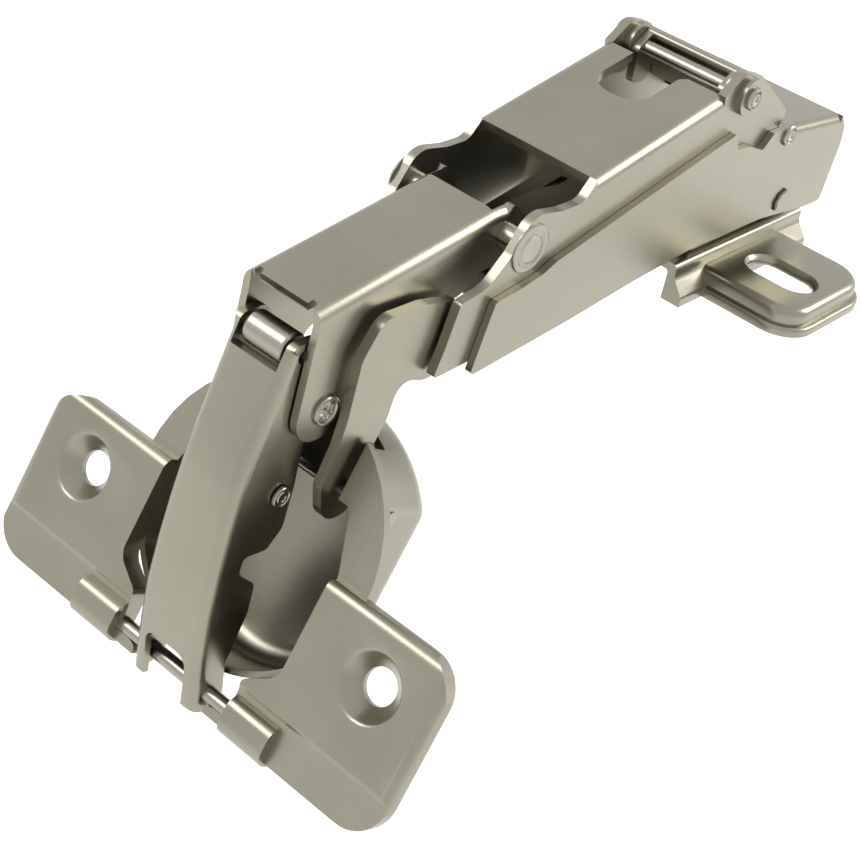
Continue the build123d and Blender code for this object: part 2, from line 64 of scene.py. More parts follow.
camera_data = bpy.data.cameras.new("camera")
camera_data.sensor_width = sensor_width
camera_data.sensor_fit = "HORIZONTAL"
camera_data.lens = focal_share * sensor_width
camera_data.clip_start = 0.001
camera_data.clip_end = 50.0
camera = bpy.data.objects.new("camera", camera_data)
back = -camera_forward.normalized()
right = camera_up.cross(back).normalized()
up = back.cross(right)
camera.matrix_world = Matrix(
    (
        (right.x, up.x, back.x, camera_place.x),
        (right.y, up.y, back.y, camera_place.y),
        (right.z, up.z, back.z, camera_place.z),
        (0, 0, 0, 1),
    )
)
bpy.context.scene.collection.objects.link(camera)
bpy.context.scene.camera = camera
bpy.context.scene.view_settings.view_transform = "Standard"


def add_node(tree, kind, **values):
    """A shader node with some of its properties set."""
    node = tree.nodes.new(kind)
    for key, value in values.items():
        setattr(node, key, value)
    return node


def shown_ray(tree):
    """One for camera, glossy and transmission rays, nothing for rays that only give light."""
    path = add_node(tree, "ShaderNodeLightPath")
    either = add_node(tree, "ShaderNodeMath", operation="MAXIMUM")
    tree.links.new(path.outputs["Is Camera Ray"], either.inputs[0])
    tree.links.new(path.outputs["Is Glossy Ray"], either.inputs[1])
    every = add_node(tree, "ShaderNodeMath", operation="MAXIMUM")
    tree.links.new(either.outputs["Value"], every.inputs[0])
    tree.links.new(path.outputs["Is Transmission Ray"], every.inputs[1])
    return every.outputs["Value"]


# World: white where it is seen or mirrored, a plain grey studio where it gives light
studio_grey, studio_level = (0.85, 0.85, 0.84, 1), 0.6
world = bpy.data.worlds.new("studio")
world.use_nodes = True
bpy.context.scene.world = world
tree = world.node_tree
tree.nodes.clear()
out = add_node(tree, "ShaderNodeOutputWorld")
lit = add_node(tree, "ShaderNodeBackground")
lit.inputs["Color"].default_value = studio_grey
lit.inputs["Strength"].default_value = studio_level
seen = add_node(tree, "ShaderNodeBackground")
seen.inputs["Color"].default_value = (1, 1, 1, 1)
seen.inputs["Strength"].default_value = 1.0
pick = add_node(tree, "ShaderNodeMixShader")
tree.links.new(shown_ray(tree), pick.inputs["Fac"])
tree.links.new(lit.outputs["Background"], pick.inputs[1])
tree.links.new(seen.outputs["Background"], pick.inputs[2])
tree.links.new(pick.outputs["Shader"], out.inputs["Surface"])


# Lamps: one lights the bends from behind the arm, one the far side
lamp_target = Vector((-0.04, 0, 0))


def area_lamp(name, place, side, watts):
    """A soft square lamp aimed at the hinge's middle."""
    data = bpy.data.lights.new(name, "AREA")
    data.shape = "SQUARE"
    data.size = side
    data.energy = watts
    lamp = bpy.data.objects.new(name, data)
    lamp.location = place
    lamp.rotation_euler = (lamp_target - Vector(place)).to_track_quat("-Z", "Y").to_euler()
    bpy.context.scene.collection.objects.link(lamp)


area_lamp("bend_light", (0.50, -0.42, 0.38), 0.35, 3.0)
area_lamp("far_light", (-0.42, 0.36, 0.50), 0.30, 1.5)


# Materials: the drift of colour and roughness, and the fine grain, in metres and shares
cloud_scale, cloud_detail, darker, paler = 90.0, 4.0, 0.94, 1.04
rough_less, rough_more = 0.05, 0.07
grain_scale, grain_detail, grain_strength, grain_depth = 2200.0, 3.0, 0.06, 0.0002


def nickel(name, colour, rough):
    """Satin nickel plate: colour and roughness drift a little, with a fine uneven grain."""
    material = bpy.data.materials.new(name)
    material.use_nodes = True
    tree = material.node_tree
    shader = tree.nodes["Principled BSDF"]
    shader.inputs["Metallic"].default_value = 1.0
    place = add_node(tree, "ShaderNodeTexCoord")
    cloud = add_node(tree, "ShaderNodeTexNoise")
    cloud.inputs["Scale"].default_value = cloud_scale
    cloud.inputs["Detail"].default_value = cloud_detail
    tree.links.new(place.outputs["Object"], cloud.inputs["Vector"])
    tint = add_node(tree, "ShaderNodeValToRGB")
    for stop, position, share in zip(tint.color_ramp.elements, (0.3, 0.7), (darker, paler)):
        stop.position = position
        stop.color = (*[c * share for c in colour], 1)
    tree.links.new(cloud.outputs["Fac"], tint.inputs["Fac"])
    tree.links.new(tint.outputs["Color"], shader.inputs["Base Color"])
    spread = add_node(tree, "ShaderNodeMapRange")
    spread.inputs["To Min"].default_value = rough - rough_less
    spread.inputs["To Max"].default_value = rough + rough_more
    tree.links.new(cloud.outputs["Fac"], spread.inputs["Value"])
    tree.links.new(spread.outputs["Result"], shader.inputs["Roughness"])
    grain = add_node(tree, "ShaderNodeTexNoise")
    grain.inputs["Scale"].default_value = grain_scale
    grain.inputs["Detail"].default_value = grain_detail
    tree.links.new(place.outputs["Object"], grain.inputs["Vector"])
    bump = add_node(tree, "ShaderNodeBump")
    bump.inputs["Strength"].default_value = grain_strength
    bump.inputs["Distance"].default_value = grain_depth
    tree.links.new(grain.outputs["Fac"], bump.inputs["Height"])
    tree.links.new(bump.outputs["Normal"], shader.inputs["Normal"])
    return material


sheet_nickel = nickel("sheet_nickel", (0.305, 0.29, 0.232), 0.3)
pin_nickel = nickel("pin_nickel", (0.33, 0.32, 0.27), 0.27)
# A near-black colour that paints shade: the carrier, the tongue and the lance crescents made of it
# stand for the shade inside the arm, the channel and the lanced slits.
painted_shade_steel = nickel("painted_shade_steel", (0.10, 0.095, 0.08), 0.42)
pins = ("knee_rivet", "elbow_rivet", "stay_rivet", "rear_pin")
pins += ("front_axle", "inner_axle", "roller", "roller_pin")
for name, node in frame["nodes"].items():
    node.data.materials.clear()
    node.data.materials.append(pin_nickel if name in pins else sheet_nickel)


# Mesh forms, drawn in millimetres in a piece's own plane and then set in its place
mm = 0.001
arc_step = math.radians(9)
merge_distance = 0.001
smooth_up_to, bevel_over = math.radians(32), math.radians(40)
far_out, wide = 70.0, 20.0
bore_gap = 0.03
knee_pin_r, elbow_pin_r, axle_r, small_pin_r = 1.5, 1.1, 1.0, 0.8
joints = frame["record"]["behaviour"]["joints"]
joint_at = {joint["name"]: Vector(joint["pos_m"]) for joint in joints}


def rounded(corners):
    """The points of a closed outline of (first, second, radius) corners."""
    points = []
    for index, (first, second, radius) in enumerate(corners):
        here = Vector((first, second))
        before = (Vector(corners[index - 1][:2]) - here).normalized()
        after = (Vector(corners[(index + 1) % len(corners)][:2]) - here).normalized()
        if radius == 0:
            points.append(here)
            continue
        turn = before.angle(after)
        run = radius / math.tan(turn / 2)
        centre = here + (before + after).normalized() * (radius / math.sin(turn / 2))
        start = here + before * run - centre
        end = here + after * run - centre
        opening = math.atan2(start.y, start.x)
        sweep = (math.atan2(end.y, end.x) - opening + math.pi) % math.tau - math.pi
        count = max(2, round(abs(sweep) / arc_step))
        for step in range(count + 1):
            angle = opening + sweep * step / count
            points.append(centre + radius * Vector((math.cos(angle), math.sin(angle))))
    return points


def disc(first, second, radius):
    """The corners of a round outline: a square with corners rounded nearly to its half."""
    square = [(-radius, -radius), (radius, -radius), (radius, radius), (-radius, radius)]
    return [(first + a, second + b, radius * 0.9999) for a, b in square]


def solid(rings):
    """A closed form through rings of points, with flat ends."""
    form = bmesh.new()
    loops = [[form.verts.new(point) for point in ring] for ring in rings]
    for low, high in zip(loops, loops[1:]):
        for index in range(len(low)):
            after = (index + 1) % len(low)
            form.faces.new((low[index], low[after], high[after], high[index]))
    form.faces.new(reversed(loops[0]))
    form.faces.new(loops[-1])
    bmesh.ops.remove_doubles(form, verts=form.verts, dist=merge_distance)
    bmesh.ops.recalc_face_normals(form, faces=form.faces)
    mesh = bpy.data.meshes.new("form")
    form.to_mesh(mesh)
    form.free()
    piece = bpy.data.objects.new("form", mesh)
    bpy.context.scene.collection.objects.link(piece)
    return piece


def raised(corners, low, high):
    """A plan outline, raised from one height to another."""
    plan = rounded(corners)
    return solid([[(p.x, p.y, height) for p in plan] for height in (low, high)])


def crosswise(corners, low, high):
    """A side-view outline, run across the piece."""
    view = rounded(corners)
    return solid([[(p.x, side, p.y) for p in view] for side in (low, high)])


def lengthwise(corners, low, high):
    """An end-view outline, run along the piece."""
    view = rounded(corners)
    return solid([[(far, p.x, p.y) for p in view] for far in (low, high)])


def turned(profile, place=(0, 0), steps=48):
    """A form turned about an upright axis, from (radius, height) points."""
    angles = [math.tau * step / steps for step in range(steps)]
    circle = [(math.cos(angle), math.sin(angle)) for angle in angles]
    rings = []
    for radius, height in profile:
        rings.append([(place[0] + radius * c, place[1] + radius * s, height) for c, s in circle])
    return solid(rings)


def combine(piece, tool, way):
    """The piece joined with, cut by or kept inside the tool, which is used up."""
    change = piece.modifiers.new("combine", "BOOLEAN")
    change.object = tool
    change.operation = way
    change.solver = "EXACT"
    changed = piece.evaluated_get(bpy.context.evaluated_depsgraph_get())
    mesh = bpy.data.meshes.new_from_object(changed)
    piece.modifiers.clear()
    piece.data = mesh
    bpy.data.objects.remove(tool)
    return piece


def place_piece(piece, name, frame_matrix, body, material, edge, *nodes, slot=None):
    """Names the piece, sets it in place on its body, and rounds its sharp edges a little.

    It stands for the nodes, which it hides. Its slot argument is not used.
    """
    piece.name = name
    piece.data.transform(frame_matrix @ Matrix.Scale(mm, 4))
    piece.data.materials.clear()
    piece.data.materials.append(material)
    for face in piece.data.polygons:
        face.use_smooth = True
    piece.data.set_sharp_from_angle(angle=smooth_up_to)
    if edge:
        bevel = piece.modifiers.new("edge", "BEVEL")
        bevel.width = edge * mm
        bevel.segments = 2
        bevel.limit_method = "ANGLE"
        bevel.angle_limit = bevel_over
        bevel.harden_normals = True
    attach(piece, body)
    if nodes:
        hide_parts(*nodes)
    return piece


# Cup: a pressed plate with two screw sinks, axle loops and a tub with flat sides
cup_lean = math.radians(62.86)
cup_origin = joint_at["toe"] + Vector((6.5, 0, 11.3)) * mm
u_way = Vector((math.cos(cup_lean), 0, math.sin(cup_lean)))
n_way = Vector((-math.sin(cup_lean), 0, math.cos(cup_lean)))
cup_frame = Matrix(
    (
        (u_way.x, 0, n_way.x, cup_origin.x),
        (0, 1, 0, 0),
        (u_way.z, 0, n_way.z, cup_origin.z),
        (0, 0, 0, 1),
    )
)
plate_front, plate_rear, plate_half = -15.0, 7.2, 32.6
plate_sheet, plate_rise, plate_low, plate_roll = 1.2, 2.0, -0.3, 1.6
corner_front_r, corner_rear_r = 5.0, 4.6
lip_length, lip_drop, lip_run, lip_low, lip_round = 5.9, 0.35, 0.5, 1.35, 0.3
rim_top, rim_low, rim_r = 0.3, -0.9, 17.9
screw_at, screw_r, sink_r, sink_low, sink_land, sink_wall = 24.0, 2.2, 4.1, -0.9, 0.7, 0.7
bowl_at, bowl_r, bowl_depth, bowl_wall = 6.16, 17.4, 11.5, 0.8
bowl_corner, bowl_round = 3.0, 3.6
mouth_half, front_half, notch_inner, notch_outer, notch_low = 13.4, 6.1, 6.0, 8.7, -3.9
loop_inner, loop_outer, loop_r, loop_wall = 9.6, 16.4, 2.28, 0.5


def in_cup(point):
    """A point of the hinge's middle plane, as millimetres in the cup's own plane."""
    step = (point - cup_origin) / mm
    return step.dot(u_way), step.dot(n_way)


def plate_plan(inset):
    """The plate's outline, drawn in by inset."""
    front, rear, half = plate_front + inset, plate_rear - inset, plate_half - inset
    front_r, rear_r = corner_front_r - inset, corner_rear_r - inset
    near = [(front, -half, front_r), (rear, -half, rear_r)]
    return near + [(rear, half, rear_r), (front, half, front_r)]


def pressed(piece, shift):
    """The piece kept inside the plate's stepped lip and rolled edges."""
    overrun = 4.0
    lip_top = plate_rise - lip_drop
    slope = (lip_top - lip_low) / lip_length
    side = [
        (plate_front - overrun, -far_out, 0),
        (plate_front - overrun, lip_low - overrun * slope - shift, 0),
        (plate_front + lip_length - lip_run, lip_top - shift, lip_round),
        (plate_front + lip_length, plate_rise - shift, lip_round),
        (plate_rear + 0.2, plate_rise - shift, plate_roll),
        (plate_rear + 0.5, -far_out, 0),
    ]
    end = [
        (-plate_half - 0.5, -far_out, 0),
        (-plate_half - 0.2, plate_rise - shift, plate_roll),
        (plate_half + 0.2, plate_rise - shift, plate_roll),
        (plate_half + 0.5, -far_out, 0),
    ]
    combine(piece, crosswise(side, -far_out, far_out), "INTERSECT")
    return combine(piece, lengthwise(end, -far_out, far_out), "INTERSECT")


def tub_ring(radius, half, corner, height):
    """A round outline with flat sides and rounded corners."""
    reach = math.sqrt((radius - corner) ** 2 - (half - corner) ** 2)
    lean = math.atan2(half - corner, reach)
    quarter = []
    for step in range(17):
        angle = lean * step / 16
        quarter.append((radius * math.cos(angle), radius * math.sin(angle)))
    for step in range(1, 9):
        angle = lean + (math.pi / 2 - lean) * step / 8
        quarter.append((reach + corner * math.cos(angle), half - corner + corner * math.sin(angle)))
    left = [(-a, b) for a, b in reversed(quarter)]
    low = [(-a, -b) for a, b in quarter[1:]]
    last = [(a, -b) for a, b in reversed(quarter[1:])]
    return [(bowl_at + a, b, height) for a, b in quarter + left + low + last]


def tub(radius, half, low, high, corner, bottom):
    """A tub of that outline with a rounded bottom."""
    rings = []
    for step in range(9):
        angle = math.pi / 2 * step / 8
        inset = bottom * (1 - math.sin(angle))
        height = low + bottom * (1 - math.cos(angle))
        rings.append(tub_ring(radius - inset, half - inset, max(corner - inset, 0.4), height))
    rings.append(tub_ring(radius, half, corner, high))
    return solid(rings)


def screw_sink(side):
    """The hole and its rolled dish, as one turned tool."""
    profile = [(screw_r, sink_low - 2), (screw_r, sink_low + sink_land)]
    profile += [(sink_r - 0.5, plate_rise - 0.6), (sink_r - 0.2, plate_rise - 0.28)]
    profile += [(sink_r, plate_rise - 0.08), (sink_r + 0.3, plate_rise + 0.01)]
    profile += [(sink_r + 0.3, plate_rise + 2)]
    return turned(profile, (0, side))


def build_cup():
    """The pressed plate, then its sinks, loops, tub, mouth and bores in turn."""
    plate = pressed(raised(plate_plan(0), plate_low, plate_rise), 0)
    pocket = pressed(raised(plate_plan(plate_sheet), plate_low - 1, plate_rise), plate_sheet)
    combine(plate, pocket, "DIFFERENCE")
    bowl_half = mouth_half + bowl_wall
    collar_plan = [(u, math.copysign(bowl_half, y), 0) for u, y, _ in plate_plan(0)]
    combine(plate, pressed(raised(collar_plan, rim_low, plate_rise - 0.01), 0.01), "UNION")
    for side in (-screw_at, screw_at):
        dish = [(screw_r + sink_wall, sink_low), (sink_r + sink_wall, plate_rise - 0.4)]
        combine(plate, turned(dish, (0, side)), "UNION")
        combine(plate, screw_sink(side), "DIFFERENCE")
    toe_u, toe_n = in_cup(joint_at["toe"])
    loop_side = [
        (toe_u - loop_r - 0.3, plate_low + 0.1, 0),
        (toe_u - loop_r, toe_n + loop_r, loop_r - 0.3),
        (toe_u + loop_r - 0.3, toe_n + loop_r, loop_r - 0.6),
        (toe_u + loop_r + 1.4, plate_low + 0.1, 0),
    ]
    for low, high in ((loop_inner, loop_outer), (-loop_outer, -loop_inner)):
        combine(plate, crosswise(loop_side, low, high), "UNION")
    combine(plate, tub(bowl_r, bowl_half, -bowl_depth, rim_top, bowl_corner, bowl_round), "UNION")
    combine(plate, raised(disc(bowl_at, 0, rim_r), rim_low, rim_top - 0.02), "UNION")
    inner = (bowl_r - bowl_wall, mouth_half, bowl_wall - bowl_depth, rim_low + 0.01)
    combine(plate, tub(*inner, bowl_corner - bowl_wall, bowl_round - bowl_wall), "DIFFERENCE")
    half_mouth = [
        (plate_front - 4, front_half, 0),
        (-14.0, front_half, 0.8),
        (-13.2, loop_inner - 0.3, 0.6),
        (-8.4, loop_inner - 0.3, 1.0),
        (-5.8, mouth_half, 2.5),
        (7.0, mouth_half, 5.0),
        (14.6, 10.6, 1.0),
        (14.6, notch_outer, 0),
        (24.0, notch_outer, 0),
        (24.0, notch_inner, 0),
        (16.4, notch_inner, 0),
        (16.4, 4.4, 0),
    ]
    mouth_plan = half_mouth + [(a, -b, radius) for a, b, radius in reversed(half_mouth)]
    combine(plate, raised(mouth_plan, rim_low - 0.02, 10), "DIFFERENCE")
    for low, high in ((notch_inner, notch_outer), (-notch_outer, -notch_inner)):
        cut = [(15.0, low, 0), (26.0, low, 0), (26.0, high, 0), (15.0, high, 0)]
        combine(plate, raised(cut, notch_low, 1.5), "DIFFERENCE")
    bore_half = loop_outer - loop_wall
    bore_r = axle_r + bore_gap
    combine(plate, crosswise(disc(toe_u, toe_n, bore_r), -bore_half, bore_half), "DIFFERENCE")
    heel_u, heel_n = in_cup(joint_at["heel"])
    combine(plate, crosswise(disc(heel_u, heel_n, bore_r), -far_out, far_out), "DIFFERENCE")
    return place_piece(plate, "cup_pressing", cup_frame, "cup", sheet_nickel, 0.22, "cup")


build_cup()


def stacked(plan, levels):
    """A form through the plan's outline at each level, drawn in by that level's inset."""
    rings = []
    for inset, height in levels:
        rings.append([(p.x, p.y, height) for p in rounded(plan(inset))])
    return solid(rings)


def box_plan(front, rear, low, high, front_r, rear_r):
    """A plan with round corners that can be drawn in by an inset."""

    def plan(inset):
        near_r, far_r = max(front_r - inset, 0.15), max(rear_r - inset, 0.15)
        a, b, c, d = front + inset, rear - inset, low + inset, high - inset
        return [(a, c, near_r), (b, c, far_r), (b, d, far_r), (a, d, near_r)]

    return plan


def quarter_roll(radius, top, steps=5):
    """Levels that round a top edge over."""
    levels = []
    for step in range(steps + 1):
        angle = math.pi / 2 * step / steps
        levels.append((radius * (1 - math.cos(angle)), top - radius * (1 - math.sin(angle))))
    return levels


# Mounting plate: two raised wings with rolled rims and slots, and the open rail between them
rail_half, rail_top, rail_front, rail_rear, rail_flare = 8.4, 5.5, -15.0, 16.6, 1.8
wing_top, wing_front, wing_rear, wing_half = 3.7, -9.5, 12.0, 24.6
wing_front_r, wing_rear_r = 5.0, 6.0
wing_foot, wing_ledge, wing_roll, foot_roll, wing_sheet = 1.3, 0.8, 1.2, 0.5, 1.2
slot_at, slot_length, slot_r = 16.0, 9.6, 2.6


def build_mounting_plate():
    """The wings on their foot, the rail across them, its hollow and the two slots."""
    outer = box_plan(wing_front, wing_rear, -wing_half, wing_half, wing_front_r, wing_rear_r)
    roll = [(wing_ledge + inset, height) for inset, height in quarter_roll(wing_roll, wing_top)]
    plate = stacked(outer, [(wing_ledge, 0.01)] + roll)
    foot = stacked(outer, [(0.0, 0.0)] + quarter_roll(foot_roll, wing_foot, 3))
    combine(plate, foot, "UNION")
    hollow = wing_ledge + wing_sheet
    combine(plate, stacked(outer, [(hollow, -1.0), (hollow, wing_top - wing_sheet)]), "DIFFERENCE")
    rail_view = [
        (-rail_half - rail_flare, 0, 0),
        (-rail_half - rail_flare, wing_foot, 0.8),
        (-rail_half, wing_top, 1.6),
        (-rail_half, rail_top, 0.8),
        (rail_half, rail_top, 0.8),
        (rail_half, wing_top, 1.6),
        (rail_half + rail_flare, wing_foot, 0.8),
        (rail_half + rail_flare, 0, 0),
    ]
    combine(plate, lengthwise(rail_view, rail_front, rail_rear), "UNION")
    room = rail_half - wing_sheet
    ceiling = rail_top - wing_sheet
    room_view = [(-room, -1, 0), (-room, ceiling, 0.5), (room, ceiling, 0.5), (room, -1, 0)]
    combine(plate, lengthwise(room_view, rail_front - 1, rail_rear - wing_sheet), "DIFFERENCE")
    reach, slot_end_r = slot_length / 2, slot_r * 0.99
    slot_edge = [(-0.12, wing_top - 0.5), (-0.4, wing_top - 0.2), (-0.7, wing_top), (-0.7, 6)]
    for side in (-slot_at, slot_at):
        slot = box_plan(-slot_r, slot_r, side - reach, side + reach, slot_end_r, slot_end_r)
        levels = [(0, -1), (0, wing_top - 0.9)] + slot_edge
        combine(plate, stacked(slot, levels), "DIFFERENCE")
    return place_piece(plate, "mounting_base", Matrix(), "arm", sheet_nickel, 0.2, "mounting_plate")


build_mounting_plate()


# Rivets and pins: one turned form each, with a staked head at both ends
spindle_steps, star_points, star_inner, star_outer = 64, 8, 0.35, 1.0


def spindle(name, joint_place, head, seat, pin_r, body, node, star=0.0):
    """A pin across the hinge with mirrored heads, from (radius, height over the seat) points.

    star is the depth of the punched marks on its heads.
    """
    ends = [(radius, seat + height) for radius, height in head]
    half = ends + [(pin_r, seat - 0.05)]
    profile = [(r, -h) for r, h in half] + [(r, h) for r, h in reversed(half)]
    rings = []
    for radius, far in profile:
        marked = star_inner < radius < star_outer and abs(far) > seat
        ring = []
        for step in range(spindle_steps):
            angle = math.tau * step / spindle_steps
            dent = star * max(0.0, math.cos(star_points * angle)) if marked else 0.0
            side = math.copysign(abs(far) - dent, far)
            ring.append((radius * math.cos(angle), side, radius * math.sin(angle)))
        rings.append(ring)
    piece = solid(rings)
    return place_piece(piece, name, Matrix.Translation(joint_place), body, pin_nickel, 0, node)


def staked(radius, height):
    """A head with a rolled rim, a groove and a flat middle."""
    return [
        (0.1, height * 0.72),
        (radius * 0.28, height * 0.72),
        (radius * 0.36, height * 0.95),
        (radius * 0.52, height * 0.98),
        (radius * 0.60, height * 0.55),
        (radius * 0.70, height * 0.52),
        (radius * 0.78, height * 0.92),
        (radius * 0.90, height * 0.96),
        (radius * 0.98, height * 0.70),
        (radius, height * 0.35),
        (radius, 0.0),
    ]


cover_half, arm_half, middle_half, rear_reach, link_half = 9.5, 10.45, 5.8, 10.4, 4.9
rear_place = joint_at["release"]
stay_place = Vector((0.0008, 0, 0.0217))
link_rivet_place = Vector((-0.0824, 0, -0.0053))
knee_head, elbow_head, rear_head = staked(3.1, 0.36), staked(1.9, 0.5), staked(1.5, 0.6)
stay_head, link_head, elbow_star = staked(1.5, 0.45), staked(1.4, 0.4), 0.16
spindle(
    "knee_spindle", joint_at["knee"], knee_head, cover_half, knee_pin_r, "arm", "knee_rivet"
)
spindle(
    "elbow_spindle", joint_at["elbow"], elbow_head, middle_half, elbow_pin_r, "middle",
    "elbow_rivet", elbow_star,
)
spindle("rear_spindle", rear_place, rear_head, rear_reach, axle_r, "arm", "rear_pin")
spindle("stay_spindle", stay_place, stay_head, arm_half, axle_r, "arm", "stay_rivet")
spindle(
    "link_spindle", link_rivet_place, link_head, link_half, small_pin_r, "link", "link_rivet"
)


# Release lever: a rounded grip bar on two cheeks that turn on the rear pin
cheek_outer, cheek_inner = 7.3, 6.2
bar_front, bar_rear, bar_low, bar_high, bar_round = -11.3, -9.6, 30.75, 31.85, 0.5


def build_release():
    """The bar, its cheeks and back, and the bore for the rear pin."""
    bar = [(bar_front, bar_low, bar_round), (bar_rear, bar_low, bar_round)]
    bar += [(bar_rear, bar_high, bar_round), (bar_front, bar_high, bar_round)]
    lever = crosswise(bar, -cheek_outer, cheek_outer)
    pin_x, pin_z = rear_place.x / mm, rear_place.z / mm
    cheek = [
        (bar_front + 0.2, bar_high - 0.2, 0.3),
        (bar_rear - 0.1, bar_high - 0.2, 0.3),
        (pin_x + 2.2, pin_z + 0.2, 1.2),
        (pin_x + 1.6, pin_z - 4.8, 1.0),
        (pin_x - 1.6, pin_z - 4.8, 1.0),
        (pin_x - 2.0, pin_z + 0.2, 1.2),
    ]
    for low, high in ((cheek_inner, cheek_outer), (-cheek_outer, -cheek_inner)):
        combine(lever, crosswise(cheek, low, high), "UNION")
    back = [
        (bar_rear - 0.8, bar_high - 0.4, 0),
        (bar_rear, bar_high - 0.4, 0.3),
        (pin_x + 2.9, pin_z - 4.0, 0.3),
        (pin_x + 2.1, pin_z - 4.0, 0.3),
    ]
    combine(lever, crosswise(back, -cheek_inner - 0.1, cheek_inner + 0.1), "UNION")
    bore = crosswise(disc(pin_x, pin_z, axle_r + bore_gap), -arm_half, arm_half)
    combine(lever, bore, "DIFFERENCE")
    place = (Matrix(), "release", sheet_nickel, 0.15)
    return place_piece(lever, "release_grip", *place, "release_lever")


build_release()


# Carrier of the rear links inside the arm: guessed, and coloured near-black as painted shade seen
# through the arm's opening
carrier_front, carrier_rear, carrier_half, carrier_sheet = -50.5, -27.0, 5.6, 0.9
carrier_low, carrier_top_front, carrier_top_rear = 8.0, 13.2, 17.6
rib_at, rib_half, carrier_bar_r = 2.6, 0.45, 0.7


def build_carrier():
    """A sloping box open below, with two grooves in its top and a bar at its front."""
    front, rear, low = carrier_front, carrier_rear, carrier_low
    view = [(front, low, 1.0), (front, carrier_top_front, 1.2), (rear, carrier_top_rear, 0.8)]
    view += [(rear, low + 4, 0.8), (front + 6, low, 1.0)]
    carrier = crosswise(view, -carrier_half, carrier_half)
    start = front + carrier_sheet
    room = [(start, low - 9, 0), (start, carrier_top_front - 2.2, 0)]
    room += [(rear + 5, carrier_top_rear - 0.2, 0), (rear + 5, low - 9, 0)]
    room_half = carrier_half - carrier_sheet
    combine(carrier, crosswise(room, -room_half, room_half), "DIFFERENCE")
    for middle_y in (-rib_at, rib_at):
        low_y, high_y = middle_y - rib_half, middle_y + rib_half
        rib = [(front + 2.5, low_y, 0.4), (rear - 2.5, low_y, 0.4)]
        rib += [(rear - 2.5, high_y, 0.4), (front + 2.5, high_y, 0.4)]
        combine(carrier, raised(rib, carrier_top_rear - 1.2, carrier_top_rear + 3), "DIFFERENCE")
    bar_round = disc(front + 3.0, carrier_top_front + 2.4, carrier_bar_r)
    combine(carrier, crosswise(bar_round, -carrier_half - 1.6, 4.0 - carrier_half), "UNION")
    # The carrier's near-black colour is painted shade, not a finish of its own.
    place = (Matrix(), "arm", painted_shade_steel, 0.15)
    return place_piece(carrier, "link_carrier", *place, slot="arm_channel")


build_carrier()


def round_edges(piece, radius, chosen):
    """Rounds the edges whose two face normals the choice accepts."""
    form = bmesh.new()
    form.from_mesh(piece.data)
    bmesh.ops.dissolve_limit(form, angle_limit=math.radians(1), verts=form.verts, edges=form.edges)
    form.normal_update()
    edges = []
    for edge in form.edges:
        if len(edge.link_faces) == 2 and chosen(edge, *[face.normal for face in edge.link_faces]):
            edges.append(edge)
    bmesh.ops.bevel(form, geom=edges, offset=radius, segments=6, profile=0.5, affect="EDGES")
    form.to_mesh(piece.data)
    form.free()
    return piece


# Outer link: a tapered channel from the elbow down to its two knuckles on the front axle
link_top, link_low, link_sheet, link_bend, link_web_top = 4.6, 5.5, 1.1, 1.5, 11.2
window_half, window_round, link_foot = 3.3, 1.6, 2.3


def side_point(name):
    """A joint's place in the side view, in millimetres."""
    return joint_at[name].x / mm, joint_at[name].z / mm


def drilled(piece, pin_places):
    """Bores the piece for each (joint, pin radius)."""
    for joint, pin_r in pin_places:
        bore = crosswise(disc(*side_point(joint), pin_r + bore_gap), -wide, wide)
        combine(piece, bore, "DIFFERENCE")


